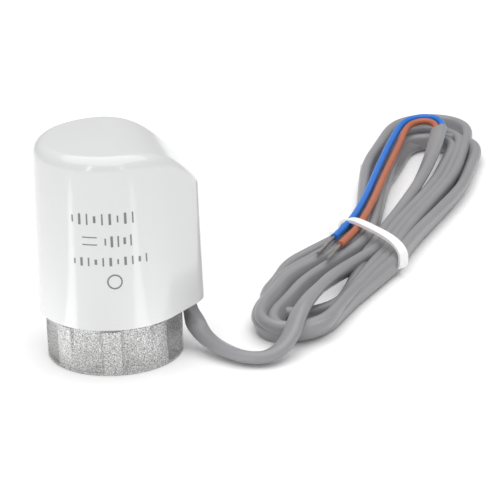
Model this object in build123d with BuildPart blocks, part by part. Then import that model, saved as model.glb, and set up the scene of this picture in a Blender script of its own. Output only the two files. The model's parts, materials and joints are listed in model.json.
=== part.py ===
from build123d import *
import math
import os

# Electrothermal actuator head for a radiator or manifold valve.
# Millimetres, +Z up. Origin on the union nut's axis, at the nut's open mouth, with the cable nose along +X.

# ---- driving dimensions -------------------------------------------------------------------------

# the cap and the base plate share one outline: a round body with a smaller round nose, joined by tangents
cap_radius = 19.8
nose_offset = 14.4
nose_radius = 10.0
cap_bottom = 13.5
cap_top = 60.0
cap_draft = 1.0
cap_wall = 1.6
cap_edge_radius = 3.5
# how far the top has fallen at each distance along the nose, from the point where it starts to fall
slope_start = 0.0
slope_points = [(10.0, 1.5), (15.0, 4.3), (20.0, 9.2), (25.5, 16.6)]

# union nut, M30 x 1.5
nut_radius = 18.1
nut_height = 12.7
nut_flat_count = 8
nut_flat_distance = 17.25
nut_flat_width = 8.4
nut_flat_slope = 1.5
nut_lip = 0.6
nut_edge = 0.5
nut_turn = -34.5
thread_pitch = 1.5
thread_width = 1.125
thread_crest = 0.1
thread_turns = 5
thread_start = 1.25
thread_minor_radius = 14.188
thread_major_radius = 15.0
thread_length = 8.1
thread_relief_radius = 15.2
nut_shoulder = 11.35
nut_flange_bore = 12.9

# neck that the nut turns on, and the rings that hold the nut
neck_radius = 12.6
neck_bottom = 8.6
neck_bore = 9.5
ring_groove_radius = 11.9
ring_bottom = 9.15
ring_thickness = 0.7
ring_outer = 13.5
ring_clearance = 0.05
ring_gap_angle = 24
washer_thickness = 0.4

# base plate
plate_bottom = 14.3
plate_thickness = 3.0
plate_gap = 0.2
plate_bore = 8.0
boss_inner = 13.2
boss_outer = 15.4
boss_bottom = 12.8
plate_top = plate_bottom + plate_thickness
seal_height = 1.2
seal_width = 0.6
seal_gap = 0.1

# valve drive: the lift cage, its pad, the spring and the spring's retainer
pad_bottom = 20.4
pad_radius = 4.5
pad_edge = 0.2
cage_bottom = 20.7
cage_floor = 3.0
cage_radius = 13.2
cage_leg_inner = 8.3
cage_leg_outer = 10.3
cage_leg_width = 5.0
cage_top_bottom = 50.7
cage_top_thickness = 1.8
cage_top_radius = 10.3
spring_mean_radius = 12.2
spring_wire = 1.5
spring_coils = 6
retainer_bottom = 44.0
retainer_thickness = 1.2
retainer_inner = 10.9
retainer_outer = 14.2
column_distance = 15.4
column_radius = 1.7
column_angles = [60, 180, 300]
leg_angles = [0, 120, 240]
screw_radius = 1.1

# wax element and heater, stacked on a bridge inside the cage
bridge_bottom = 28.4
bridge_thickness = 2.4
bridge_radius = 7.4
post_distance = 9.5
post_radius = 1.9
post_clearance = 0.8
stack_bottom = bridge_bottom + bridge_thickness
insulator_thickness = 0.6
contact_thickness = 0.4
insulator_radius = 6.2
heater_radius = 5.0
heater_thickness = 2.0
contact_radius = 5.6
cup_radius = 6.0
cup_height = 9.0
cup_wall = 0.8
diaphragm_thickness = 0.8
piston_lift = 0.1
guide_height = 6.0
guide_flange = 2.4
guide_shoulder = 3.2
guide_step_radius = 3.6
piston_radius = 1.5
piston_clearance = 0.05

# cable: flat two-core, leaving the nose downwards
cable_width = 5.4
cable_thickness = 3.2
core_diameter = 2.1
strand_diameter = 1.1
exit_x = 20.2
gland_wall = 0.6
gland_fit = 0.04
cradle_x = 18.0
cradle_length = 8.0
cradle_width = 10.6
cradle_height = 2.0
saddle_length = 6.2
saddle_width = 9.6
clamp_height = 3.0
clamp_screw_x = 15.6
clamp_screw_radius = 0.9
clamp_screw_head = 1.25
clamp_screw_head_height = 1.2
clamp_screw_slot = 0.4
clamp_screw_tip = 15.5
clamp_pilot_bottom = 15.3
jacket_top = 24.0
crimp_x = 16.8
crimp_y = 2.4
crimp_bottom = 30.0
crimp_length = 6.0
crimp_radius = 1.5
tail_bend = 1.6
tail_straight = 1.8
lead_wire = 1.6
lead_height = 47.3
screw_length = 8.0
screw_head_radius = 1.9
screw_head_height = 1.4
screw_cross_length = 2.0
screw_cross_width = 0.5
screw_cross_depth = 0.8
screw_tip_gap = 0.3
contact_tab_reach = 8.0
contact_tab_width = 2.4

gland_bottom = 13.6
core_spread = 1.1
contact_tab_angle = 35
contact_lead_radius = 7.2
lead_bend = 2.5

# the free cable: a plain round tube stands for the flat lead
tube_diameter = 3.4
blue_strand_end = (63.4, 30.6, 8.7)
brown_strand_end = (65.0, 25.6, 8.7)
# the hank's crossing point, the lean of its long and short loops, and circles whose hull is each bundle
waist = (79.5, 34.0)
upper_lean = 65.0
lower_lean = 230.0
tie_centre = (82.2, 41.2)
tie_lean = -70.0
upper_lobes = [(113.5, 1.0, 14.5), (100.0, -5.5, 14.5), (72.0, -2.0, 19.0), (-6.0, 13.0, 2.5), (7.0, -13.0, 2.5)]
lower_lobes = [(43.0, -1.5, 15.0), (30.0, -4.0, 17.0), (7.0, -13.0, 2.5), (-6.0, 13.0, 2.5)]
hank_height = 8.0
waist_width = 31.0
waist_depth = 9.0
tie_width = 3.6
tie_thickness = 1.1
tie_top = 11.6
tie_head = 5.0
tie_head_bottom = 1.5
draft_rate = math.tan(math.radians(cap_draft))

os.makedirs("parts", exist_ok=True)


def finish(solid, name):
    """Label one sub-part and write its STEP file."""
    solid.label = name
    export_step(solid, "parts/" + name + ".step")


def body_outline(inset):
    """Sketch of the cap's outline, drawn in by an inset all round."""
    with BuildSketch(mode=Mode.PRIVATE) as outline:
        Circle(cap_radius - inset)
        with Locations((nose_offset, 0)):
            Circle(nose_radius - inset)
        make_hull()
    return outline.sketch


def cap_solid(inset, bottom, drop, edge):
    """Drafted block with the sloping top, drawn in by an inset; the shell is one of these less another."""
    with BuildPart(mode=Mode.PRIVATE) as block:
        with BuildSketch(Plane.XY.offset(bottom)):
            add(body_outline(inset))
        with BuildSketch(Plane.XY.offset(cap_top + 5)):
            add(body_outline(inset + draft_rate * (cap_top + 5 - bottom)))
        loft(ruled=True)
        with BuildSketch(Plane.XZ):
            with BuildLine():
                top_start = (slope_start, cap_top - drop)
                fall = [(slope_start + x, cap_top - drop - z) for x, z in slope_points]
                Line((-cap_radius - 5, cap_top - drop), top_start)
                Spline([top_start] + fall, tangents=[(1, 0), (0.55, -0.83)])
                Polyline(fall[-1], (fall[-1][0] + 5, bottom - 1), (-cap_radius - 5, bottom - 1),
                         (-cap_radius - 5, cap_top - drop))
            make_face()
        extrude(amount=cap_radius + 5, both=True, mode=Mode.INTERSECT)
        rim = block.faces().filter_by(lambda face: face.normal_at().Z > 0.3)
        rim_edges = rim.edges().filter_by(lambda edge: edge.length > 1)
        shared = [edge for edge in rim_edges if sum(1 for face in rim if edge in face.edges()) == 1]
        fillet(shared, radius=edge)
    return block.part


# ---- casing ----------------------------------------------------------------------------------------

# one-piece moulded cap, open at the bottom
with BuildPart() as outer_cap:
    add(cap_solid(0, cap_bottom, 0, cap_edge_radius))
    add(cap_solid(cap_wall, cap_bottom - 1, cap_wall, cap_edge_radius - cap_wall), mode=Mode.SUBTRACT)
finish(outer_cap.part, "outer_cap")

# moulded base: plate inside the cap's skirt, a boss that stands on the nut, the neck, and three columns
plate_inset = cap_wall + plate_gap + draft_rate * (plate_top - cap_bottom)
with BuildPart() as base_body:
    with BuildSketch(Plane.XY.offset(plate_bottom)):
        add(body_outline(plate_inset))
    extrude(amount=plate_thickness)
    with BuildSketch(Plane.XY.offset(boss_bottom)):
        Circle(boss_outer)
        Circle(boss_inner, mode=Mode.SUBTRACT)
    extrude(amount=plate_bottom - boss_bottom)
    with BuildSketch(Plane.XY.offset(neck_bottom)):
        Circle(neck_radius)
    extrude(amount=plate_bottom - neck_bottom)
    with BuildSketch(Plane.XY.offset(neck_bottom)):
        Circle(neck_bore)
    extrude(amount=plate_bottom - neck_bottom, mode=Mode.SUBTRACT)
    with BuildSketch(Plane.XY.offset(plate_bottom)):
        Circle(plate_bore)
    extrude(amount=plate_thickness, mode=Mode.SUBTRACT)
    # groove for the snap ring
    with BuildSketch(Plane.XY.offset(ring_bottom - ring_clearance)):
        Circle(neck_radius)
        Circle(ring_groove_radius, mode=Mode.SUBTRACT)
    extrude(amount=ring_thickness + 2 * ring_clearance, mode=Mode.SUBTRACT)
    # columns with pilot holes for the retainer's screws
    for angle in column_angles:
        turn = math.radians(angle)
        spot = (column_distance * math.cos(turn), column_distance * math.sin(turn))
        with BuildSketch(Plane.XY.offset(plate_top)):
            with Locations(spot):
                Circle(column_radius)
        extrude(amount=retainer_bottom - plate_top)
        with BuildSketch(Plane.XY.offset(retainer_bottom - screw_length)):
            with Locations(spot):
                Circle(screw_radius)
        extrude(amount=screw_length, mode=Mode.SUBTRACT)
    # cradle for the cable's clamp, with a slot that the cable turns down through
    with BuildSketch(Plane.XY.offset(plate_top)):
        with Locations((cradle_x, 0)):
            Rectangle(cradle_length, cradle_width)
        add(body_outline(plate_inset + 0.2), mode=Mode.INTERSECT)
    extrude(amount=cradle_height)
    with BuildSketch(Plane.XY.offset(plate_bottom)):
        with Locations((exit_x, 0)):
            SlotOverall(cable_width + 2 * gland_wall, cable_thickness + 2 * gland_wall, rotation=90)
    extrude(amount=plate_thickness + cradle_height, mode=Mode.SUBTRACT)
    with BuildSketch(Plane.XY.offset(clamp_pilot_bottom)):
        with Locations((clamp_screw_x, 0)):
            Circle(clamp_screw_radius)
    extrude(amount=plate_top + cradle_height - clamp_pilot_bottom, mode=Mode.SUBTRACT)
finish(base_body.part, "base_body")

# rubber band round the plate, on which the cap's skirt closes
with BuildPart() as cap_seal:
    with BuildSketch(Plane.XY.offset(plate_top)):
        add(body_outline(plate_inset + seal_gap))
        add(body_outline(plate_inset + seal_gap + seal_width), mode=Mode.SUBTRACT)
        with Locations((cradle_x + cradle_length / 2, 0)):
            Rectangle(cradle_length, cradle_width + 0.4, mode=Mode.SUBTRACT)
    extrude(amount=seal_height)
finish(cap_seal.part, "cap_seal")

# ---- union nut and what holds it --------------------------------------------------------------------

with BuildPart() as union_nut:
    with BuildSketch():
        Circle(nut_radius)
    extrude(amount=nut_height)
    chamfer(union_nut.faces().sort_by(Axis.Z)[-1].edges(), length=nut_edge)
    # flats between the grip ribs, stopping above a plain round lip
    with BuildSketch(Plane.XY.offset(nut_lip)):
        with PolarLocations(0, nut_flat_count, start_angle=nut_turn):
            Polygon((nut_flat_distance, -nut_flat_width / 2),
                    (nut_radius + 0.2, -nut_flat_width / 2 - nut_flat_slope),
                    (nut_radius + 2, 0), (nut_radius + 0.2, nut_flat_width / 2 + nut_flat_slope),
                    (nut_flat_distance, nut_flat_width / 2), align=None)
    extrude(amount=nut_height, mode=Mode.SUBTRACT)
    # bore, thread relief and the flange's hole
    with BuildSketch():
        Circle(thread_minor_radius)
    extrude(amount=thread_length, mode=Mode.SUBTRACT)
    with BuildSketch(Plane.XY.offset(thread_length)):
        Circle(thread_relief_radius)
    extrude(amount=nut_shoulder - thread_length, mode=Mode.SUBTRACT)
    with BuildSketch(Plane.XY.offset(nut_shoulder)):
        Circle(nut_flange_bore)
    extrude(amount=nut_height - nut_shoulder, mode=Mode.SUBTRACT)
    # thread form as rings at the thread's own pitch, with a lead-in at the mouth
    with BuildSketch(Plane.XZ):
        with BuildLine():
            Polyline((thread_minor_radius - 1, -1), (thread_minor_radius + 1.2, -1), (thread_minor_radius + 0.4, 0),
                     (thread_minor_radius, 0.4), (thread_minor_radius - 1, 0.4), (thread_minor_radius - 1, -1))
        make_face()
        for turn in range(thread_turns):
            middle = thread_start + turn * thread_pitch
            Polygon((thread_minor_radius - 1, middle - thread_width / 2),
                    (thread_minor_radius, middle - thread_width / 2),
                    (thread_major_radius, middle - thread_crest), (thread_major_radius, middle + thread_crest),
                    (thread_minor_radius, middle + thread_width / 2),
                    (thread_minor_radius - 1, middle + thread_width / 2), align=None)
    revolve(axis=Axis.Z, mode=Mode.SUBTRACT)
finish(union_nut.part, "union_nut")

# split ring in the neck's groove
with BuildPart() as snap_ring:
    with BuildSketch(Plane.XY.offset(ring_bottom)):
        Circle(ring_outer)
        Circle(ring_groove_radius + 0.02, mode=Mode.SUBTRACT)
        with BuildLine():
            gap = math.radians(ring_gap_angle / 2)
            reach = ring_outer + 2
            Polyline((0, 0), (reach * math.cos(gap), -reach * math.sin(gap)),
                     (reach * math.cos(gap), reach * math.sin(gap)), (0, 0))
        make_face(mode=Mode.SUBTRACT)
    extrude(amount=ring_thickness)
finish(snap_ring.part, "snap_ring")

# slippery washer under the nut's flange
with BuildPart() as slip_washer:
    with BuildSketch(Plane.XY.offset(nut_shoulder - ring_clearance - washer_thickness)):
        Circle(thread_minor_radius - 0.2)
        Circle(nut_flange_bore, mode=Mode.SUBTRACT)
    extrude(amount=washer_thickness)
finish(slip_washer.part, "slip_washer")

# ---- valve drive --------------------------------------------------------------------------------------

# cage: floor with the valve pad, three legs, and a head that the piston lifts
with BuildPart() as lift_cage:
    with BuildSketch(Plane.XY.offset(cage_bottom)):
        Circle(cage_radius)
        Circle(pad_radius, mode=Mode.SUBTRACT)
        with PolarLocations(post_distance, len(column_angles), start_angle=column_angles[0]):
            Circle(post_radius + post_clearance, mode=Mode.SUBTRACT)
    extrude(amount=cage_floor)
    for angle in leg_angles:
        leg_plane = Plane.XY.offset(cage_bottom + cage_floor).rotated((0, 0, angle))
        with BuildSketch(leg_plane):
            with Locations(((cage_leg_inner + cage_leg_outer) / 2, 0)):
                Rectangle(cage_leg_outer - cage_leg_inner, cage_leg_width)
        extrude(amount=cage_top_bottom - cage_bottom - cage_floor)
    with BuildSketch(Plane.XY.offset(cage_top_bottom)):
        Circle(cage_top_radius)
    extrude(amount=cage_top_thickness)
finish(lift_cage.part, "lift_cage")

# hard pad that presses the valve's pin
with BuildPart() as pressure_pad:
    with BuildSketch(Plane.XY.offset(pad_bottom)):
        Circle(pad_radius - 0.02)
    extrude(amount=cage_bottom + cage_floor - pad_bottom)
    fillet(pressure_pad.faces().sort_by(Axis.Z)[0].edges(), radius=pad_edge)
finish(pressure_pad.part, "pressure_pad")

# strong compression spring, standing on the cage's floor
with BuildPart() as main_spring:
    spring_low = cage_bottom + cage_floor + spring_wire / 2 + 0.02
    spring_high = retainer_bottom - spring_wire / 2 - 0.02
    coil_pitch = (spring_high - spring_low) / spring_coils
    with BuildLine() as spring_line:
        Helix(pitch=coil_pitch, height=spring_high - spring_low, radius=spring_mean_radius,
              center=(0, 0, spring_low))
    with BuildSketch(Plane(origin=spring_line.line @ 0, z_dir=spring_line.line % 0)):
        Circle(spring_wire / 2)
    sweep(is_frenet=True)
finish(main_spring.part, "main_spring")

# steel plate on the columns that the spring pushes against
with BuildPart() as spring_retainer:
    with BuildSketch(Plane.XY.offset(retainer_bottom)):
        Circle(retainer_outer)
        with PolarLocations(column_distance, len(column_angles), start_angle=column_angles[0]):
            Circle(column_radius)
        Circle(retainer_inner, mode=Mode.SUBTRACT)
        with PolarLocations(column_distance, len(column_angles), start_angle=column_angles[0]):
            Circle(screw_radius + 0.1, mode=Mode.SUBTRACT)
    extrude(amount=retainer_thickness)
finish(spring_retainer.part, "spring_retainer")

# three screws that hold the retainer on the columns
with BuildPart() as retainer_screws:
    with BuildSketch(Plane.XY.offset(retainer_bottom - screw_length + screw_tip_gap)):
        with PolarLocations(column_distance, len(column_angles), start_angle=column_angles[0]):
            Circle(screw_radius)
    extrude(amount=screw_length - screw_tip_gap + retainer_thickness)
    with BuildSketch(Plane.XY.offset(retainer_bottom + retainer_thickness)):
        with PolarLocations(column_distance, len(column_angles), start_angle=column_angles[0]):
            Circle(screw_head_radius)
    extrude(amount=screw_head_height)
    with BuildSketch(Plane.XY.offset(retainer_bottom + retainer_thickness + screw_head_height)):
        with PolarLocations(column_distance, len(column_angles), start_angle=column_angles[0]):
            Rectangle(screw_cross_length, screw_cross_width)
            Rectangle(screw_cross_width, screw_cross_length)
    extrude(amount=-screw_cross_depth, mode=Mode.SUBTRACT)
finish(retainer_screws.part, "retainer_screws")

# ---- wax element and heater ------------------------------------------------------------------------

# bridge: a table on three posts that reach down through the cage's floor to the base plate
with BuildPart() as element_bridge:
    with BuildSketch(Plane.XY.offset(bridge_bottom)):
        Circle(bridge_radius)
        with PolarLocations(post_distance / 2, len(column_angles), start_angle=column_angles[0]):
            Rectangle(post_distance, 2 * post_radius)
        with PolarLocations(post_distance, len(column_angles), start_angle=column_angles[0]):
            Circle(post_radius)
    extrude(amount=bridge_thickness)
    with BuildSketch(Plane.XY.offset(plate_top)):
        with PolarLocations(post_distance, len(column_angles), start_angle=column_angles[0]):
            Circle(post_radius)
    extrude(amount=bridge_bottom - plate_top)
finish(element_bridge.part, "element_bridge")


def disc(name, radius, bottom, thickness):
    """Plain round disc of the heater stack."""
    with BuildPart() as piece:
        with BuildSketch(Plane.XY.offset(bottom)):
            Circle(radius)
        extrude(amount=thickness)
    finish(piece.part, name)


def contact_plate(name, bottom, angle):
    """Round spring-brass contact with a tab that stands out between the cage's legs."""
    with BuildPart() as piece:
        with BuildSketch(Plane.XY.offset(bottom)):
            Circle(contact_radius)
        extrude(amount=contact_thickness)
        with BuildSketch(Plane.XY.offset(bottom).rotated((0, 0, angle))):
            with Locations((contact_tab_reach / 2, 0)):
                Rectangle(contact_tab_reach, contact_tab_width)
        extrude(amount=contact_thickness)
    finish(piece.part, name)


insulator_top = stack_bottom + insulator_thickness
heater_bottom = insulator_top + contact_thickness
heater_top = heater_bottom + heater_thickness
cup_bottom = heater_top + contact_thickness
cup_top = cup_bottom + cup_height
guide_bottom = cup_top + diaphragm_thickness
guide_top = guide_bottom + guide_height
disc("heater_insulator", insulator_radius, stack_bottom, insulator_thickness)
contact_plate("lower_contact", insulator_top, contact_tab_angle)
disc("ptc_heater", heater_radius, heater_bottom, heater_thickness)
contact_plate("upper_contact", heater_top, -contact_tab_angle)

# brass cup that holds the wax
with BuildPart() as wax_cup:
    with BuildSketch(Plane.XY.offset(cup_bottom)):
        Circle(cup_radius)
    extrude(amount=cup_height)
    with BuildSketch(Plane.XY.offset(cup_bottom + cup_wall)):
        Circle(cup_radius - cup_wall)
    extrude(amount=cup_height - cup_wall, mode=Mode.SUBTRACT)
finish(wax_cup.part, "wax_cup")

disc("wax_charge", cup_radius - cup_wall, cup_bottom + cup_wall, cup_height - cup_wall)

disc("diaphragm", cup_radius, cup_top, diaphragm_thickness)

# guide screwed over the cup's mouth, bored for the piston
with BuildPart() as piston_guide:
    with BuildSketch(Plane.XZ):
        with BuildLine():
            bore = piston_radius + piston_clearance
            Polyline((bore, guide_bottom), (cup_radius, guide_bottom), (cup_radius, guide_bottom + guide_flange),
                     (guide_step_radius, guide_bottom + guide_shoulder), (guide_step_radius, guide_top), (bore, guide_top),
                     (bore, guide_bottom))
        make_face()
    revolve(axis=Axis.Z)
finish(piston_guide.part, "piston_guide")

disc("piston", piston_radius, guide_bottom + piston_lift,
     cage_top_bottom - guide_bottom - piston_lift)

# ---- cable entry and the wires inside -----------------------------------------------------------------

clamp_bottom = plate_top + cradle_height
clamp_top = clamp_bottom + clamp_height

# rubber gland that the cable passes down through
with BuildPart() as cable_gland:
    with BuildSketch(Plane.XY.offset(gland_bottom)):
        with Locations((exit_x, 0)):
            SlotOverall(cable_width + 2 * gland_wall - gland_fit, cable_thickness + 2 * gland_wall - gland_fit,
                        rotation=90)
            SlotOverall(cable_width, cable_thickness, rotation=90, mode=Mode.SUBTRACT)
    extrude(amount=clamp_bottom - gland_bottom)
finish(cable_gland.part, "cable_gland")

# saddle screwed down beside the gland, pressing the jacket towards the cap's nose
with BuildPart() as cable_clamp:
    with BuildSketch(Plane.XY.offset(clamp_bottom)):
        with Locations((exit_x - saddle_length / 2, 0)):
            Rectangle(saddle_length, saddle_width)
        with Locations((exit_x, 0)):
            SlotOverall(cable_width, cable_thickness, rotation=90, mode=Mode.SUBTRACT)
        with Locations((clamp_screw_x, 0)):
            Circle(clamp_screw_radius + 0.1, mode=Mode.SUBTRACT)
    extrude(amount=clamp_height)
finish(cable_clamp.part, "cable_clamp")

# screw that pulls the saddle down
with BuildPart() as clamp_screw:
    with BuildSketch(Plane.XY.offset(clamp_screw_tip)):
        with Locations((clamp_screw_x, 0)):
            Circle(clamp_screw_radius)
    extrude(amount=clamp_top - clamp_screw_tip)
    with BuildSketch(Plane.XY.offset(clamp_top)):
        with Locations((clamp_screw_x, 0)):
            Circle(clamp_screw_head)
    extrude(amount=clamp_screw_head_height)
    with BuildSketch(Plane.XY.offset(clamp_top + clamp_screw_head_height)):
        with Locations((clamp_screw_x, 0)):
            Rectangle(2 * clamp_screw_head, clamp_screw_slot)
    extrude(amount=-clamp_screw_head_height / 2, mode=Mode.SUBTRACT)
finish(clamp_screw.part, "clamp_screw")

# the last of the jacket, upright inside the gland and the saddle
with BuildPart() as jacket_end:
    with BuildSketch(Plane.XY.offset(gland_bottom)):
        with Locations((exit_x, 0)):
            SlotOverall(cable_width, cable_thickness, rotation=90)
    extrude(amount=jacket_top - gland_bottom)
finish(jacket_end.part, "jacket_end")


def wire(name, route, radii, diameter):
    """Round wire along straight runs joined by arcs."""
    with BuildPart() as piece:
        with BuildLine() as path:
            FilletPolyline(route, radius=radii)
        with BuildSketch(Plane(origin=path.line @ 0, z_dir=path.line % 0)):
            Circle(diameter / 2)
        sweep()
    finish(piece.part, name)
    return path.wires()[0].length


def arc_radii(route):
    """Largest arcs that a cord's route leaves room for: 0.45 of the shorter run over tan(half the turn)."""
    corners = []
    for before, corner, after in zip(route, route[1:], route[2:]):
        run_in = Vector(*corner) - Vector(*before)
        run_out = Vector(*after) - Vector(*corner)
        half_turn = math.radians(run_in.get_angle(run_out)) / 2
        corners.append(0.45 * min(run_in.length, run_out.length) / math.tan(half_turn))
    return corners


inner_wires = [("blue", -1, contact_tab_angle, heater_top + contact_thickness),
               ("brown", 1, contact_tab_angle, insulator_top + contact_thickness)]
for colour, side, angle, tab_top in inner_wires:
    # bare core from the jacket's end up to its crimp
    core_top = [(exit_x, side * core_spread, jacket_top), (exit_x, side * core_spread, jacket_top + tail_straight),
                (crimp_x, side * crimp_y, crimp_bottom - tail_straight), (crimp_x, side * crimp_y, crimp_bottom)]
    wire(colour + "_tail", core_top, [tail_bend, tail_bend], core_diameter)
    # lead from the crimp over the spring's retainer and down to its contact tab
    tab_x = contact_lead_radius * math.cos(math.radians(angle))
    tab_y = side * contact_lead_radius * math.sin(math.radians(angle))
    over = [(crimp_x, side * crimp_y, crimp_bottom + crimp_length), (crimp_x, side * crimp_y, lead_height),
            (tab_x, tab_y, lead_height), (tab_x, tab_y, tab_top)]
    wire(colour + "_inner_lead", over, [lead_bend, lead_bend], lead_wire)

# two crimped joints
with BuildPart() as crimp_sleeves:
    with BuildSketch(Plane.XY.offset(crimp_bottom)):
        with Locations((crimp_x, crimp_y), (crimp_x, -crimp_y)):
            Circle(crimp_radius)
    extrude(amount=crimp_length)
finish(crimp_sleeves.part, "crimp_sleeves")

# ---- the free cable --------------------------------------------------------------------------------------

# from the nose down to the table and round to the hank
lead_route = [(exit_x, 0, gland_bottom), (exit_x, 0, 10.4), (20.8, -3.0, 7.0), (22.8, -8.2, 4.0),
              (26.0, -14.6, 2.2), (30.6, -20.8, 1.8), (37.0, -24.0, 1.8), (43.8, -21.4, 2.2), (48.2, -15.0, 3.2),
              (50.6, -9.8, 4.0)]
# the two cores, from the jacket's cut end back down the hank to under the tie
blue_route = [(127.4, 121.8, 9.2), (130.0, 129.4, 9.3), (125.4, 136.2, 9.2), (117.4, 134.0, 9.1),
              (110.4, 121.2, 9.1), (100.3, 100.0, 9.2), (90.4, 76.8, 9.1), (81.4, 57.4, 9.1), (75.6, 48.0, 9.2),
              (70.8, 41.0, 9.1)]
brown_route = [(125.0, 122.9, 9.2), (127.0, 128.2, 9.1), (123.4, 132.6, 9.2), (117.2, 129.2, 9.1),
               (110.2, 114.2, 9.1), (98.8, 90.2, 9.2), (88.8, 67.2, 9.1), (80.2, 49.0, 9.1), (75.6, 41.4, 9.2),
               (71.0, 34.8, 9.1)]
cord_tubes = [("cable_lead", lead_route, tube_diameter), ("blue_core", blue_route, core_diameter),
              ("brown_core", brown_route, core_diameter)]
for name, route, diameter in cord_tubes:
    radii = arc_radii(route)
    length = wire(name, route, radii, diameter)
    print(name, "length", round(length, 1), "radii", [round(radius, 1) for radius in radii])

# bare tinned ends of the cores
for colour, start, end in (("blue", blue_route[-1], blue_strand_end), ("brown", brown_route[-1], brown_strand_end)):
    run = Vector(*end) - Vector(*start)
    with BuildPart() as strands:
        with BuildSketch(Plane(origin=start, z_dir=run)):
            Circle(strand_diameter / 2)
        extrude(amount=run.length)
    finish(strands.part, colour + "_strands")


def hank_plane(lean, centre, height=0):
    """Level plane at a centre, its x axis turned by a lean."""
    return Plane(origin=(centre[0], centre[1], height), x_dir=(math.cos(math.radians(lean)),
                                                             math.sin(math.radians(lean)), 0), z_dir=(0, 0, 1))


# the hank: long loops one way and short loops the other, drawn in at the tie
with BuildPart() as cable_hank:
    for lean, lobes in ((upper_lean, upper_lobes), (lower_lean, lower_lobes)):
        with BuildSketch(hank_plane(lean, waist)):
            for along, across, radius in lobes:
                with Locations((along, across)):
                    Circle(radius)
            make_hull()
        extrude(amount=hank_height)
    with BuildSketch(hank_plane(tie_lean, tie_centre)):
        Rectangle(waist_width, waist_depth)
    extrude(amount=hank_height)
finish(cable_hank.part, "cable_hank")

# nylon tie round the waist, with its head and cut tail
with BuildPart() as cable_tie:
    with BuildSketch(hank_plane(tie_lean, tie_centre)):
        Rectangle(waist_width + 2 * tie_thickness, tie_width)
    extrude(amount=tie_top)
    with BuildSketch(hank_plane(tie_lean, tie_centre, tie_thickness)):
        Rectangle(waist_width, tie_width + 1)
    extrude(amount=tie_top - 2 * tie_thickness, mode=Mode.SUBTRACT)
    with BuildSketch(hank_plane(tie_lean, tie_centre, tie_head_bottom)):
        with Locations((-waist_width / 2 - tie_thickness - tie_head / 2 + 0.2, 0)):
            Rectangle(tie_head, tie_head)
    extrude(amount=tie_head)
finish(cable_tie.part, "cable_tie")
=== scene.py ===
import json
import math

import bmesh
import bpy
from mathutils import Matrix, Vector


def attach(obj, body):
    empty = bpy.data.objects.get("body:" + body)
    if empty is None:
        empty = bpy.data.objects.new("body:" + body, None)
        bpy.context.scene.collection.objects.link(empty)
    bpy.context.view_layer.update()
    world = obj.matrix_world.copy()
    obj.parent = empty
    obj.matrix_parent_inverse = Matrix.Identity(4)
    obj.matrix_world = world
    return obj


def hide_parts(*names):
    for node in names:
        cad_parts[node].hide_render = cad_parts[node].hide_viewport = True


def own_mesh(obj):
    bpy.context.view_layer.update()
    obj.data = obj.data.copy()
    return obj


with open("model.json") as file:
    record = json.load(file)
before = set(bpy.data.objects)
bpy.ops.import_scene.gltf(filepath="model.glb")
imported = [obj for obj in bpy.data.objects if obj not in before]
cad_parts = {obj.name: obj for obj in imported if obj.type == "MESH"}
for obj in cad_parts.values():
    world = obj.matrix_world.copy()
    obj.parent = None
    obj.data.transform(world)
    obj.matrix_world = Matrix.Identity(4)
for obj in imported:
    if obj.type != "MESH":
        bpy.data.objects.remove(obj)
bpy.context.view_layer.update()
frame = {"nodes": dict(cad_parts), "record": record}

# ---- camera ----
# A long lens a little above the head, nose to the right and the hank behind it.
cam_data = bpy.data.cameras.new("camera")
cam_data.lens = 191.57
cam_data.sensor_width = 36.0
camera = bpy.data.objects.new("camera", cam_data)
camera.location = (-0.09997, -0.64649, 0.2843)
camera.rotation_euler = (math.radians(68.491), math.radians(1.61), math.radians(-12.634))
bpy.context.collection.objects.link(camera)
bpy.context.scene.camera = camera

# ---- stage ----
# White sweep lit evenly, with two tall soft boxes in front and one large one overhead.
world = bpy.data.worlds.new("studio")
bpy.context.scene.world = world
world.use_nodes = True
world.node_tree.nodes["Background"].inputs["Color"].default_value = (1.0, 1.0, 1.0, 1.0)
world.node_tree.nodes["Background"].inputs["Strength"].default_value = 0.46
bpy.context.scene.view_settings.view_transform = "Standard"
floor_mesh = bpy.data.meshes.new("floor")
side, level = 6, -0.0001
corners = [(-side, -side, level), (side, -side, level), (side, side, level), (-side, side, level)]
floor_mesh.from_pydata(corners, [], [(0, 1, 2, 3)])
floor = bpy.data.objects.new("floor", floor_mesh)
bpy.context.collection.objects.link(floor)
paper = bpy.data.materials.new("white_paper")
paper.use_nodes = True
paper.node_tree.nodes["Principled BSDF"].inputs["Base Color"].default_value = (0.95, 0.95, 0.95, 1.0)
paper.node_tree.nodes["Principled BSDF"].inputs["Roughness"].default_value = 0.9
paper.node_tree.nodes["Principled BSDF"].inputs["Emission Color"].default_value = (1.0, 1.0, 1.0, 1.0)
paper.node_tree.nodes["Principled BSDF"].inputs["Emission Strength"].default_value = 0.05
paper.node_tree.nodes["Principled BSDF"].inputs["Specular IOR Level"].default_value = 0.1
floor_mesh.materials.append(paper)
boxes = [
    ("left_box", (-0.62, -0.80, 0.45), (0.10, 0.9), 1.2),
    ("right_box", (0.25, -0.95, 0.45), (0.10, 0.9), 0.6),
    ("top_box", (0.05, 0.0, 1.1), (1.8, 1.8), 16.0),
]
for name, place, size, power in boxes:
    light = bpy.data.lights.new(name, "AREA")
    light.shape = "RECTANGLE"
    light.size, light.size_y = size
    light.energy = power
    lamp = bpy.data.objects.new(name, light)
    lamp.location = place
    aim = Vector((0.03, 0.02, 0.03)) - Vector(place)
    lamp.rotation_euler = aim.to_track_quat("-Z", "Y").to_euler()
    bpy.context.collection.objects.link(lamp)

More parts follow.
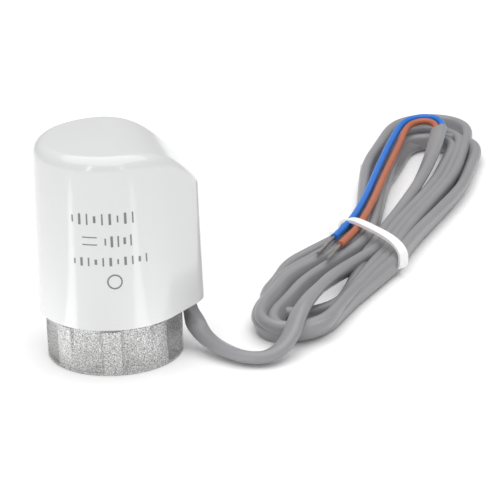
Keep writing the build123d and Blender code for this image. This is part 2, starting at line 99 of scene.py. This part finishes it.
# two glowing strips lie on the table, unseen themselves, for the upright streaks in the gloss
strip_reach, strip_size = 0.100, (0.150, 0.018)
for name, turn, power in (("left_strip", -157.0, 0.021), ("right_strip", -63.6, 0.014)):
    light = bpy.data.lights.new(name, "AREA")
    light.shape = "RECTANGLE"
    light.size, light.size_y = strip_size
    light.energy = power
    lamp = bpy.data.objects.new(name, light)
    bearing = math.radians(turn)
    lamp.location = (strip_reach * math.cos(bearing), strip_reach * math.sin(bearing), 0.0005)
    lamp.rotation_euler = (math.pi, 0.0, bearing)
    lamp.visible_camera = False
    bpy.context.collection.objects.link(lamp)

# ---- cap ----
# The cap is one injection moulding in white gloss plastic, with a sloping top that falls to the cable's side.
# It snaps over the base plate.
shell = bpy.data.objects.new("cap_shell", frame["nodes"]["outer_cap"].data.copy())
bpy.context.collection.objects.link(shell)
work = bmesh.new()
work.from_mesh(shell.data)
bmesh.ops.remove_doubles(work, verts=work.verts, dist=0.000002)
work.to_mesh(shell.data)
work.free()
shell.data.shade_smooth()
shell.data.set_sharp_from_angle(angle=math.radians(28))
gloss = bpy.data.materials.new("white_gloss_plastic")
gloss.use_nodes = True
tree = gloss.node_tree
shader = tree.nodes["Principled BSDF"]
shader.inputs["Roughness"].default_value = 0.16
shader.inputs["Coat Weight"].default_value = 0.3
shader.inputs["Coat Roughness"].default_value = 0.06
coords = tree.nodes.new("ShaderNodeTexCoord")
ripple = tree.nodes.new("ShaderNodeTexNoise")
ripple.inputs["Scale"].default_value = 45.0
ripple.inputs["Detail"].default_value = 2.0
tree.links.new(coords.outputs["Object"], ripple.inputs["Vector"])
tint = tree.nodes.new("ShaderNodeValToRGB")
tint.color_ramp.elements[0].color = (0.655, 0.657, 0.661, 1.0)
tint.color_ramp.elements[1].color = (0.670, 0.672, 0.676, 1.0)
tree.links.new(ripple.outputs["Fac"], tint.inputs["Fac"])
tree.links.new(tint.outputs["Color"], shader.inputs["Base Color"])
bump = tree.nodes.new("ShaderNodeBump")
bump.inputs["Strength"].default_value = 0.04
bump.inputs["Distance"].default_value = 0.0004
tree.links.new(ripple.outputs["Fac"], bump.inputs["Height"])
tree.links.new(bump.outputs["Normal"], shader.inputs["Normal"])
shell.data.materials.clear()
shell.data.materials.append(gloss)
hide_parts("outer_cap")
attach(shell, "root")

# ---- print on the cap ----
# The rating panel is pad-printed in thin dark ink on the round side of the cap.
# It is drawn as plain strokes and a ring, in the panel's rows.
ink_mesh = bpy.data.meshes.new("rating_print")
ink = bpy.data.objects.new("rating_print", ink_mesh)
bpy.context.collection.objects.link(ink)
wall_radius, wall_foot, wall_draft = 0.0198, 0.0135, math.tan(math.radians(1.0))
panel_turn = math.radians(-100.5)
verts, faces = [], []
# each row: height of its middle, left end, step, number of strokes, stroke height
rows = [
    (0.0441, -0.0096, 0.00205, 9, 0.0030),
    (0.0380, -0.0008, 0.00170, 5, 0.0030),
    (0.0325, -0.0094, 0.00195, 11, 0.0023),
]
strokes = []
for middle, left, step, count, tall in rows:
    for place in range(count):
        part = tall * (1.0 if place % 3 else 0.62)
        strokes.append((left + place * step, middle, 0.00042 + 0.00025 * (place % 2), part))
strokes.append((-0.0050, 0.0392, 0.0040, 0.0003))
strokes.append((-0.0050, 0.0372, 0.0040, 0.0003))
for along, middle, wide, tall in strokes:
    corner = len(verts)
    for side in range(5):
        angle = panel_turn + (along + wide * (side / 4.0 - 0.5)) / wall_radius
        for height in (middle - tall / 2, middle + tall / 2):
            reach = wall_radius - wall_draft * (height - wall_foot) + 0.00003
            verts.append((reach * math.cos(angle), reach * math.sin(angle), height))
    for side in range(4):
        first = corner + 2 * side
        faces.append((first, first + 2, first + 3, first + 1))
corner = len(verts)
for step in range(40):
    turn = step * math.tau / 40
    for spread in (0.00165, 0.00205):
        angle = panel_turn + (0.0012 + spread * math.cos(turn)) / wall_radius
        height = 0.0270 + spread * math.sin(turn)
        reach = wall_radius - wall_draft * (height - wall_foot) + 0.00003
        verts.append((reach * math.cos(angle), reach * math.sin(angle), height))
for step in range(40):
    first, after = corner + 2 * step, corner + 2 * ((step + 1) % 40)
    faces.append((first, first + 1, after + 1, after))
ink_mesh.from_pydata(verts, [], faces)
dark_ink = bpy.data.materials.new("grey_pad_ink")
dark_ink.use_nodes = True
tree = dark_ink.node_tree
shader = tree.nodes["Principled BSDF"]
shader.inputs["Roughness"].default_value = 0.35
coords = tree.nodes.new("ShaderNodeTexCoord")
speckle = tree.nodes.new("ShaderNodeTexNoise")
speckle.inputs["Scale"].default_value = 2600.0
tree.links.new(coords.outputs["Object"], speckle.inputs["Vector"])
tint = tree.nodes.new("ShaderNodeValToRGB")
tint.color_ramp.elements[0].color = (0.13, 0.13, 0.135, 1.0)
tint.color_ramp.elements[1].color = (0.24, 0.24, 0.25, 1.0)
tree.links.new(speckle.outputs["Fac"], tint.inputs["Fac"])
tree.links.new(tint.outputs["Color"], shader.inputs["Base Color"])
ink_mesh.materials.append(dark_ink)
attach(ink, "root")

# ---- union nut ----
# The nut is turned and milled from brass, sand-blasted and nickel plated, with eight flats to grip.
# It turns on the base's neck.
nut = bpy.data.objects.new("grip_nut", frame["nodes"]["union_nut"].data.copy())
bpy.context.collection.objects.link(nut)
work = bmesh.new()
work.from_mesh(nut.data)
bmesh.ops.remove_doubles(work, verts=work.verts, dist=0.000002)
work.to_mesh(nut.data)
work.free()
nut.data.shade_smooth()
nut.data.set_sharp_from_angle(angle=math.radians(12))
blasted = bpy.data.materials.new("sand_blasted_nickel")
blasted.use_nodes = True
tree = blasted.node_tree
shader = tree.nodes["Principled BSDF"]
shader.inputs["Metallic"].default_value = 1.0
coords = tree.nodes.new("ShaderNodeTexCoord")
grain = tree.nodes.new("ShaderNodeTexNoise")
grain.inputs["Scale"].default_value = 3400.0
grain.inputs["Detail"].default_value = 3.0
grain.inputs["Roughness"].default_value = 0.7
tree.links.new(coords.outputs["Object"], grain.inputs["Vector"])
tint = tree.nodes.new("ShaderNodeValToRGB")
tint.color_ramp.elements[0].position = 0.34
tint.color_ramp.elements[0].color = (0.13, 0.13, 0.13, 1.0)
tint.color_ramp.elements[1].position = 0.62
tint.color_ramp.elements[1].color = (0.86, 0.86, 0.855, 1.0)
tree.links.new(grain.outputs["Fac"], tint.inputs["Fac"])
tree.links.new(tint.outputs["Color"], shader.inputs["Base Color"])
rough = tree.nodes.new("ShaderNodeMapRange")
rough.inputs["To Min"].default_value = 0.22
rough.inputs["To Max"].default_value = 0.42
tree.links.new(grain.outputs["Fac"], rough.inputs["Value"])
tree.links.new(rough.outputs["Result"], shader.inputs["Roughness"])
bump = tree.nodes.new("ShaderNodeBump")
bump.inputs["Strength"].default_value = 0.9
bump.inputs["Distance"].default_value = 0.0003
tree.links.new(grain.outputs["Fac"], bump.inputs["Height"])
tree.links.new(bump.outputs["Normal"], shader.inputs["Normal"])
nut.data.materials.clear()
nut.data.materials.append(blasted)
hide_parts("union_nut")
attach(nut, "nut")

# ---- parts inside the head ----
# The base, drive, spring, wax element and wiring are hidden while the head is closed.
# Each takes the finish of its own material.
looks = {
    "base_plastic": ((0.70, 0.70, 0.68), 0.45, 0.0),
    "drive_plastic": ((0.62, 0.60, 0.53), 0.5, 0.0),
    "black_rubber": ((0.02, 0.02, 0.02), 0.7, 0.0),
    "spring_steel": ((0.30, 0.30, 0.31), 0.35, 1.0),
    "zinc_steel": ((0.66, 0.67, 0.69), 0.3, 1.0),
    "hard_steel": ((0.55, 0.55, 0.56), 0.2, 1.0),
    "brass": ((0.72, 0.53, 0.24), 0.3, 1.0),
    "slip_plastic": ((0.78, 0.76, 0.70), 0.5, 0.0),
    "ptc_ceramic": ((0.12, 0.12, 0.12), 0.6, 0.0),
    "mica_sheet": ((0.50, 0.42, 0.30), 0.5, 0.0),
    "wax": ((0.75, 0.66, 0.42), 0.6, 0.0),
    "grey_jacket": ((0.20, 0.20, 0.215), 0.5, 0.0),
    "blue_insulation": ((0.01, 0.15, 0.62), 0.4, 0.0),
    "brown_insulation": ((0.45, 0.13, 0.06), 0.4, 0.0),
    "tinned_copper": ((0.60, 0.59, 0.58), 0.35, 1.0),
    "lead_insulation": ((0.62, 0.62, 0.60), 0.5, 0.0),
}
finishes = {}
for slot_name, (colour, roughness, metallic) in looks.items():
    finish = bpy.data.materials.new(slot_name + "_finish")
    finish.use_nodes = True
    tree = finish.node_tree
    shader = tree.nodes["Principled BSDF"]
    shader.inputs["Metallic"].default_value = metallic
    shader.inputs["Roughness"].default_value = roughness
    coords = tree.nodes.new("ShaderNodeTexCoord")
    noise = tree.nodes.new("ShaderNodeTexNoise")
    noise.inputs["Scale"].default_value = 400.0
    tree.links.new(coords.outputs["Object"], noise.inputs["Vector"])
    tint = tree.nodes.new("ShaderNodeValToRGB")
    tint.color_ramp.elements[0].color = (*(0.9 * channel for channel in colour), 1.0)
    tint.color_ramp.elements[1].color = (*colour, 1.0)
    tree.links.new(noise.outputs["Fac"], tint.inputs["Fac"])
    tree.links.new(tint.outputs["Color"], shader.inputs["Base Color"])
    bump = tree.nodes.new("ShaderNodeBump")
    bump.inputs["Strength"].default_value = 0.1
    bump.inputs["Distance"].default_value = 0.0001
    tree.links.new(noise.outputs["Fac"], bump.inputs["Height"])
    tree.links.new(bump.outputs["Normal"], shader.inputs["Normal"])
    finishes[slot_name] = finish
for entry in frame["record"]["subparts"]:
    if entry["material_slot"] in finishes:
        node = frame["nodes"][entry["node"]]
        node.data.materials.clear()
        node.data.materials.append(finishes[entry["material_slot"]])

# ---- main spring ----
# The spring is coiled from hard-drawn steel wire and stands between the lift cage and the fixed retainer.
# In use it shortens from below by the cage's 4 mm of lift, out of its 20.3 mm; here it keeps its modelled
# length.
coil = bpy.data.objects.new("coil_spring", frame["nodes"]["main_spring"].data.copy())
bpy.context.collection.objects.link(coil)
work = bmesh.new()
work.from_mesh(coil.data)
bmesh.ops.remove_doubles(work, verts=work.verts, dist=0.000002)
work.to_mesh(coil.data)
work.free()
coil.data.shade_smooth()
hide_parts("main_spring")
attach(coil, "root")
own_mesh(coil)

# ---- flat cable ----
# The lead is a flat two-core cable with one grey PVC jacket, bent round by hand into four turns and tied.
# It leaves the nose, lies on the table and climbs into the hank, mostly standing on its edge there.
cable_width, cable_thickness = 0.0054, 0.0034
waist, tie_middle = (79.5, 34.0), (82.2, 41.2)
slot_lean = math.radians(-70.0)
# places in millimetres, and how far the flat section stands up: 90 on its edge, 0 lying flat
route = [
    (20.2, 0.0, 13.6, 0), (20.2, -0.3, 10.6, 0), (21.0, -3.4, 6.4, 10), (23.0, -8.6, 3.4, 20),
    (26.4, -15.0, 2.4, 25), (31.4, -21.0, 2.1, 20), (37.6, -22.6, 2.3, 20), (43.4, -18.4, 4.6, 30),
    (47.6, -11.0, 8.4, 35),
    (52.4, -2.6, 9.0, 40), (58.6, 7.4, 8.4, 55), (66.2, 18.2, 6.8, 70), (75.0, 29.5, 4.8, 85),
]
# where each pass of the cable crosses the tie, measured along the tie from its middle
slots = [3.1, -3.1, 5.9, -5.9, 8.8, -8.8, 11.7, -11.7, 0.0]
# one row for each bend at an end of the hank, upper and lower in turn: reach, offset of the side going out,
# offset of the side coming back, tip radius, height, stand
loops = [
    (103, -9.3, 7.0, 8.6, 3.0, 84), (57, -8.0, 6.5, 7.2, 4.0, 62),
    (111, -12.0, 10.0, 9.6, 2.7, 82), (58, -13.5, 7.0, 9.0, 4.6, 58),
    (123, -14.2, 15.0, 12.0, 2.7, 80), (57, -16.5, 7.5, 10.0, 2.7, 72),
    (106, -17.6, 7.0, 11.0, 2.5, 50), (44, -19.0, 2.5, 10.0, 2.5, 50),
]
slot_x = [tie_middle[0] + place * math.cos(slot_lean) for place in slots]
slot_y = [tie_middle[1] + place * math.sin(slot_lean) for place in slots]
route.append((slot_x[0], slot_y[0], 4.0, 90))
for number, (reach, side_out, side_back, tip, height, stand) in enumerate(loops):
    upper = number % 2 == 0
    lean = math.radians(65.0 if upper else 230.0)
    rise_in, rise_out = (3.9, 3.9) if upper else (4.6, 3.4)
    ends = []
    for which in (number, number + 1):
        dx, dy = slot_x[which] - waist[0], slot_y[which] - waist[1]
        ends.append((dx * math.cos(lean) + dy * math.sin(lean), -dx * math.sin(lean) + dy * math.cos(lean)))
    middle, half = (side_out + side_back) / 2, abs(side_out - side_back) / 2
    way = 1 if side_back > side_out else -1
    tip = min(half, tip)
    # the short loops are drawn out to a longer, leaning end
    stretch, drift = (1.12, 0.0) if upper else (1.45, 3.0)
    straight = reach - (tip if upper else stretch * tip)
    neck = 0.5 * half + 0.5 * tip
    spots = []
    for part, pull in ((0.18, 0.16), (0.40, 0.55), (0.64, 0.95)):
        spots.append((ends[0][0] + (straight - ends[0][0]) * part, ends[0][1] * (1 - pull) + side_out * pull,
                      rise_in + (height - rise_in) * part, 90 + (stand - 90) * part))
    near_tip = ends[0][0] + (straight - ends[0][0]) * 0.86
    spots.append((near_tip, middle + 0.6 * drift - way * neck, height, stand))
    for turn in (15, 55, 90, 125, 165):
        bend = math.radians(turn)
        along = straight + stretch * tip * math.sin(bend)
        spots.append((along, middle + drift - 1.08 * way * tip * math.cos(bend), height, stand))
    near_tip = ends[1][0] + (straight - ends[1][0]) * 0.86
    spots.append((near_tip, middle + 0.6 * drift + way * neck, height, stand))
    for part, pull in ((0.64, 0.95), (0.40, 0.55), (0.18, 0.16)):
        spots.append((ends[1][0] + (straight - ends[1][0]) * part, ends[1][1] * (1 - pull) + side_back * pull,
                      rise_out + (height - rise_out) * part, 90 + (stand - 90) * part))
    for along, across, high, edge in spots:
        route.append((waist[0] + along * math.cos(lean) - across * math.sin(lean),
                      waist[1] + along * math.sin(lean) + across * math.cos(lean), high, edge))
    route.append((slot_x[number + 1], slot_y[number + 1], 4.6 if upper else 3.4, 90))
# the last run goes up the hank from the tie to the cut end
last_run = [(18, 0.2, 3.2, 88), (38, -2.4, 3.8, 82), (57, -4.6, 5.2, 72), (75, -5.4, 6.6, 55),
            (89, -5.2, 7.6, 40), (101, -4.6, 8.2, 25)]
lean = math.radians(65.0)
for along, across, high, edge in last_run:
    route.append((waist[0] + along * math.cos(lean) - across * math.sin(lean),
                  waist[1] + along * math.sin(lean) + across * math.cos(lean), high, edge))
line = bpy.data.curves.new("cable_line", "CURVE")
line.dimensions = "3D"
line.resolution_u = 10
spline = line.splines.new("NURBS")
spline.points.add(len(route) - 1)
for point, place in zip(spline.points, route):
    point.co = (0.001 * place[0], 0.001 * place[1], 0.001 * place[2], 1.0)
spline.order_u = 3
spline.use_endpoint_u = True
guide = bpy.data.objects.new("cable_line", line)
bpy.context.collection.objects.link(guide)
sampled = bpy.data.meshes.new_from_object(guide)
centre = [vertex.co.copy() for vertex in sampled.vertices]
bpy.data.objects.remove(guide)
bpy.data.meshes.remove(sampled)
work = bmesh.new()
rings = []
ring_count = 20
gone = 0.0
for number, place in enumerate(centre):
    before, after = centre[max(number - 1, 0)], centre[min(number + 1, len(centre) - 1)]
    heading = (after - before).normalized()
    gone += (place - before).length
    # where along the route's own points this is, for the section's stand
    spot = number / (len(centre) - 1) * (len(route) - 1)
    low = min(int(spot), len(route) - 2)
    edge = math.radians(route[low][3] + (route[low + 1][3] - route[low][3]) * (spot - low))
    sideways = heading.cross(Vector((0, 0, 1)))
    if sideways.length < 0.2:
        sideways = Vector((0, 1, 0))
    sideways.normalize()
    wide = sideways * math.cos(edge) + Vector((0, 0, 1)) * math.sin(edge)
    # the section comes out of the gland across the nose, then turns over its first few millimetres
    settle = min(1.0, gone / 0.016)
    settle = settle * settle * (3 - 2 * settle)
    wide = Vector((0, 1, 0)) * (1 - settle) + wide * settle
    wide = (wide - heading * wide.dot(heading)).normalized()
    thin = heading.cross(wide)
    ring = []
    for step in range(ring_count):
        turn = step * math.tau / ring_count
        flank = 1 if math.cos(turn) > 0 else -1
        flat = (cable_width - cable_thickness) / 2 * flank * min(1.0, abs(math.cos(turn)) * 4)
        # a shallow groove runs between the two cores
        round_part = cable_thickness / 2
        dip = 0.93 if abs(math.cos(turn)) < 0.05 else 1.0
        offset = wide * (flat + round_part * math.cos(turn))
        rise = thin * (round_part * dip * math.sin(turn))
        ring.append(work.verts.new(place + offset + rise))
    rings.append(ring)
for first, second in zip(rings, rings[1:]):
    for step in range(ring_count):
        after = (step + 1) % ring_count
        work.faces.new((first[step], first[after], second[after], second[step]))
work.faces.new(list(reversed(rings[0])))
work.faces.new(rings[-1])
bmesh.ops.recalc_face_normals(work, faces=work.faces)
cable_mesh = bpy.data.meshes.new("flat_cable")
work.to_mesh(cable_mesh)
work.free()
cable_mesh.shade_smooth()
cable_mesh.set_sharp_from_angle(angle=math.radians(50))
cable = bpy.data.objects.new("flat_cable", cable_mesh)
bpy.context.collection.objects.link(cable)
jacket = bpy.data.materials.new("grey_pvc_jacket")
jacket.use_nodes = True
tree = jacket.node_tree
shader = tree.nodes["Principled BSDF"]
shader.inputs["Roughness"].default_value = 0.34
shader.inputs["Specular IOR Level"].default_value = 0.5
coords = tree.nodes.new("ShaderNodeTexCoord")
mottle = tree.nodes.new("ShaderNodeTexNoise")
mottle.inputs["Scale"].default_value = 60.0
mottle.inputs["Detail"].default_value = 4.0
tree.links.new(coords.outputs["Object"], mottle.inputs["Vector"])
tint = tree.nodes.new("ShaderNodeValToRGB")
tint.color_ramp.elements[0].color = (0.245, 0.245, 0.252, 1.0)
tint.color_ramp.elements[1].color = (0.300, 0.298, 0.310, 1.0)
tree.links.new(mottle.outputs["Fac"], tint.inputs["Fac"])
tree.links.new(tint.outputs["Color"], shader.inputs["Base Color"])
fine = tree.nodes.new("ShaderNodeTexNoise")
fine.inputs["Scale"].default_value = 900.0
tree.links.new(coords.outputs["Object"], fine.inputs["Vector"])
bump = tree.nodes.new("ShaderNodeBump")
bump.inputs["Strength"].default_value = 0.15
bump.inputs["Distance"].default_value = 0.00006
tree.links.new(fine.outputs["Fac"], bump.inputs["Height"])
tree.links.new(bump.outputs["Normal"], shader.inputs["Normal"])
cable_mesh.materials.append(jacket)
print("flat cable length", round(sum((b - a).length for a, b in zip(centre, centre[1:])), 4))
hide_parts("cable_lead", "cable_hank")
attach(cable, "root")

# ---- blue core ----
# The blue core is PVC-insulated copper strand, left long where the jacket was stripped.
# It folds back over the hank and under the tie.
blue_line = bpy.data.curves.new("blue_wire", "CURVE")
blue_line.dimensions = "3D"
blue_line.resolution_u = 12
blue_line.bevel_depth = 0.00105
blue_line.bevel_resolution = 4
blue_line.use_fill_caps = True
spline = blue_line.splines.new("NURBS")
blue_route = [(127.0, 122.0, 8.4), (129.4, 129.0, 8.9), (125.6, 135.8, 9.0), (117.4, 133.6, 8.8),
              (110.4, 121.2, 7.9), (100.3, 100.0, 7.4), (90.4, 76.8, 7.6), (81.4, 57.4, 8.2),
              (75.6, 48.0, 8.3), (70.8, 41.0, 8.6)]
spline.points.add(len(blue_route) - 1)
for point, (x, y, z) in zip(spline.points, blue_route):
    point.co = (0.001 * x, 0.001 * y, 0.001 * z, 1.0)
spline.order_u = 3
spline.use_endpoint_u = True
blue_wire = bpy.data.objects.new("blue_wire", blue_line)
bpy.context.collection.objects.link(blue_wire)
blue_pvc = bpy.data.materials.new("blue_pvc")
blue_pvc.use_nodes = True
tree = blue_pvc.node_tree
shader = tree.nodes["Principled BSDF"]
shader.inputs["Roughness"].default_value = 0.36
coords = tree.nodes.new("ShaderNodeTexCoord")
noise = tree.nodes.new("ShaderNodeTexNoise")
noise.inputs["Scale"].default_value = 180.0
tree.links.new(coords.outputs["Object"], noise.inputs["Vector"])
tint = tree.nodes.new("ShaderNodeValToRGB")
tint.color_ramp.elements[0].color = (0.004, 0.135, 0.560, 1.0)
tint.color_ramp.elements[1].color = (0.010, 0.185, 0.690, 1.0)
tree.links.new(noise.outputs["Fac"], tint.inputs["Fac"])
tree.links.new(tint.outputs["Color"], shader.inputs["Base Color"])
bump = tree.nodes.new("ShaderNodeBump")
bump.inputs["Strength"].default_value = 0.08
bump.inputs["Distance"].default_value = 0.0001
tree.links.new(noise.outputs["Fac"], bump.inputs["Height"])
tree.links.new(bump.outputs["Normal"], shader.inputs["Normal"])
blue_line.materials.append(blue_pvc)
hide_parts("blue_core")
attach(blue_wire, "root")

# ---- brown core ----
# The brown core is the blue one's pair, lying beside it on the hank.
brown_line = bpy.data.curves.new("brown_wire", "CURVE")
brown_line.dimensions = "3D"
brown_line.resolution_u = 12
brown_line.bevel_depth = 0.00105
brown_line.bevel_resolution = 4
brown_line.use_fill_caps = True
spline = brown_line.splines.new("NURBS")
brown_route = [(125.2, 122.9, 8.4), (126.8, 128.2, 8.7), (123.4, 132.4, 8.8), (117.2, 129.2, 8.6),
               (110.6, 114.2, 7.7), (99.2, 90.2, 7.5), (89.2, 67.2, 7.8), (80.6, 49.0, 8.4),
               (75.8, 41.6, 8.4), (71.0, 34.8, 8.6)]
spline.points.add(len(brown_route) - 1)
for point, (x, y, z) in zip(spline.points, brown_route):
    point.co = (0.001 * x, 0.001 * y, 0.001 * z, 1.0)
spline.order_u = 3
spline.use_endpoint_u = True
brown_wire = bpy.data.objects.new("brown_wire", brown_line)
bpy.context.collection.objects.link(brown_wire)
brown_pvc = bpy.data.materials.new("brown_pvc")
brown_pvc.use_nodes = True
tree = brown_pvc.node_tree
shader = tree.nodes["Principled BSDF"]
shader.inputs["Roughness"].default_value = 0.38
coords = tree.nodes.new("ShaderNodeTexCoord")
noise = tree.nodes.new("ShaderNodeTexNoise")
noise.inputs["Scale"].default_value = 180.0
tree.links.new(coords.outputs["Object"], noise.inputs["Vector"])
tint = tree.nodes.new("ShaderNodeValToRGB")
tint.color_ramp.elements[0].color = (0.400, 0.110, 0.050, 1.0)
tint.color_ramp.elements[1].color = (0.500, 0.150, 0.075, 1.0)
tree.links.new(noise.outputs["Fac"], tint.inputs["Fac"])
tree.links.new(tint.outputs["Color"], shader.inputs["Base Color"])
bump = tree.nodes.new("ShaderNodeBump")
bump.inputs["Strength"].default_value = 0.08
bump.inputs["Distance"].default_value = 0.0001
tree.links.new(noise.outputs["Fac"], bump.inputs["Height"])
tree.links.new(bump.outputs["Normal"], shader.inputs["Normal"])
brown_line.materials.append(brown_pvc)
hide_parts("brown_core")
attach(brown_wire, "root")

# ---- conductor ends ----
# Each core's end is stripped and dipped in solder, which leaves a slightly uneven rod of twisted strands.
tinned = bpy.data.materials.new("dipped_solder")
tinned.use_nodes = True
tree = tinned.node_tree
shader = tree.nodes["Principled BSDF"]
shader.inputs["Metallic"].default_value = 1.0
shader.inputs["Roughness"].default_value = 0.38
coords = tree.nodes.new("ShaderNodeTexCoord")
noise = tree.nodes.new("ShaderNodeTexNoise")
noise.inputs["Scale"].default_value = 700.0
tree.links.new(coords.outputs["Object"], noise.inputs["Vector"])
tint = tree.nodes.new("ShaderNodeValToRGB")
tint.color_ramp.elements[0].color = (0.30, 0.28, 0.27, 1.0)
tint.color_ramp.elements[1].color = (0.60, 0.57, 0.55, 1.0)
tree.links.new(noise.outputs["Fac"], tint.inputs["Fac"])
tree.links.new(tint.outputs["Color"], shader.inputs["Base Color"])
bump = tree.nodes.new("ShaderNodeBump")
bump.inputs["Strength"].default_value = 0.5
bump.inputs["Distance"].default_value = 0.00015
tree.links.new(noise.outputs["Fac"], bump.inputs["Height"])
tree.links.new(bump.outputs["Normal"], shader.inputs["Normal"])
for colour, start, end in (("blue", blue_route[-1], (63.4, 30.6, 8.2)),
                           ("brown", brown_route[-1], (65.0, 25.6, 8.2))):
    strand_line = bpy.data.curves.new(colour + "_conductor", "CURVE")
    strand_line.dimensions = "3D"
    strand_line.bevel_depth = 0.00055
    strand_line.bevel_resolution = 3
    strand_line.use_fill_caps = True
    spline = strand_line.splines.new("POLY")
    spline.points.add(3)
    for step, point in enumerate(spline.points):
        spot = Vector(start).lerp(Vector(end), step / 3)
        point.co = (0.001 * spot.x, 0.001 * spot.y, 0.001 * (spot.z + 0.15 * (step % 2)), 1.0)
    strand = bpy.data.objects.new(colour + "_conductor", strand_line)
    bpy.context.collection.objects.link(strand)
    strand_line.materials.append(tinned)
    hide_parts(colour + "_strands")
    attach(strand, "root")

# ---- cable tie ----
# The tie is a moulded nylon strap, pulled tight round the hank's waist through its own head.
# The strap's long tail is tucked under the strands, and its tip shows beyond them.
work = bmesh.new()
half_span, strap, half_width, foot, crown = 0.0156, 0.0010, 0.0014, 0.0001, 0.0104
outline = []
for step in range(48):
    turn = step * math.tau / 48
    across = half_span * math.copysign(abs(math.cos(turn)) ** 0.62, math.cos(turn))
    up = math.copysign(abs(math.sin(turn)) ** 0.8, math.sin(turn))
    outline.append((across, foot + (crown - foot) * (0.5 + 0.5 * up), math.cos(turn), math.sin(turn)))
rings = []
for across, high, out_x, out_z in outline:
    ring = []
    for inward, side in ((0, -1), (0, 1), (strap, 1), (strap, -1)):
        place = across - inward * out_x
        up = high - inward * out_z
        x = 0.001 * tie_middle[0] + place * math.cos(slot_lean) - side * half_width * math.sin(slot_lean)
        y = 0.001 * tie_middle[1] + place * math.sin(slot_lean) + side * half_width * math.cos(slot_lean)
        ring.append(work.verts.new((x, y, up)))
    rings.append(ring)
for number, first in enumerate(rings):
    second = rings[(number + 1) % len(rings)]
    for step in range(4):
        after = (step + 1) % 4
        work.faces.new((first[step], first[after], second[after], second[step]))
bmesh.ops.recalc_face_normals(work, faces=work.faces)
tie_mesh = bpy.data.meshes.new("tie_strap")
work.to_mesh(tie_mesh)
work.free()
tie_mesh.shade_smooth()
tie_mesh.set_sharp_from_angle(angle=math.radians(40))
tie = bpy.data.objects.new("tie_strap", tie_mesh)
bpy.context.collection.objects.link(tie)
# head, and the tail that leaves it
work = bmesh.new()
pieces = [((-0.0172, 0.0, 0.0021), (0.0036, 0.0050, 0.0038), slot_lean, tie_middle, 0.0005)]
tail_from, tail_to = Vector((85.0, 52.0)), Vector((100.2, 118.5))
tail_lean = math.atan2(tail_to.y - tail_from.y, tail_to.x - tail_from.x)
pieces.append(((0.0, 0.0, 0.0006), (0.001 * (tail_to - tail_from).length, 0.0026, 0.0010), tail_lean,
               tuple((tail_from + tail_to) / 2), 0.0002))
for (along, across, high), size, lean, base, edge in pieces:
    made = bmesh.ops.create_cube(work, size=1.0)["verts"]
    for vertex in made:
        u, v, w = along + vertex.co.x * size[0], across + vertex.co.y * size[1], high + vertex.co.z * size[2]
        vertex.co = (0.001 * base[0] + u * math.cos(lean) - v * math.sin(lean),
                     0.001 * base[1] + u * math.sin(lean) + v * math.cos(lean), w)
    rim = {line for vertex in made for line in vertex.link_edges}
    bmesh.ops.bevel(work, geom=list(rim), offset=edge, affect="EDGES", segments=2, profile=0.5, material=-1)
head_mesh = bpy.data.meshes.new("tie_head")
work.to_mesh(head_mesh)
work.free()
head_mesh.shade_smooth()
head_mesh.set_sharp_from_angle(angle=math.radians(40))
head = bpy.data.objects.new("tie_head", head_mesh)
bpy.context.collection.objects.link(head)
nylon = bpy.data.materials.new("white_nylon")
nylon.use_nodes = True
tree = nylon.node_tree
shader = tree.nodes["Principled BSDF"]
shader.inputs["Roughness"].default_value = 0.32
shader.inputs["Subsurface Weight"].default_value = 0.15
shader.inputs["Subsurface Radius"].default_value = (0.001, 0.001, 0.001)
coords = tree.nodes.new("ShaderNodeTexCoord")
noise = tree.nodes.new("ShaderNodeTexNoise")
noise.inputs["Scale"].default_value = 350.0
tree.links.new(coords.outputs["Object"], noise.inputs["Vector"])
tint = tree.nodes.new("ShaderNodeValToRGB")
tint.color_ramp.elements[0].color = (0.86, 0.86, 0.85, 1.0)
tint.color_ramp.elements[1].color = (0.93, 0.93, 0.92, 1.0)
tree.links.new(noise.outputs["Fac"], tint.inputs["Fac"])
tree.links.new(tint.outputs["Color"], shader.inputs["Base Color"])
bump = tree.nodes.new("ShaderNodeBump")
bump.inputs["Strength"].default_value = 0.1
bump.inputs["Distance"].default_value = 0.0001
tree.links.new(noise.outputs["Fac"], bump.inputs["Height"])
tree.links.new(bump.outputs["Normal"], shader.inputs["Normal"])
tie_mesh.materials.append(nylon)
head_mesh.materials.append(nylon)
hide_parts("cable_tie")
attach(tie, "root")
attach(head, "root")
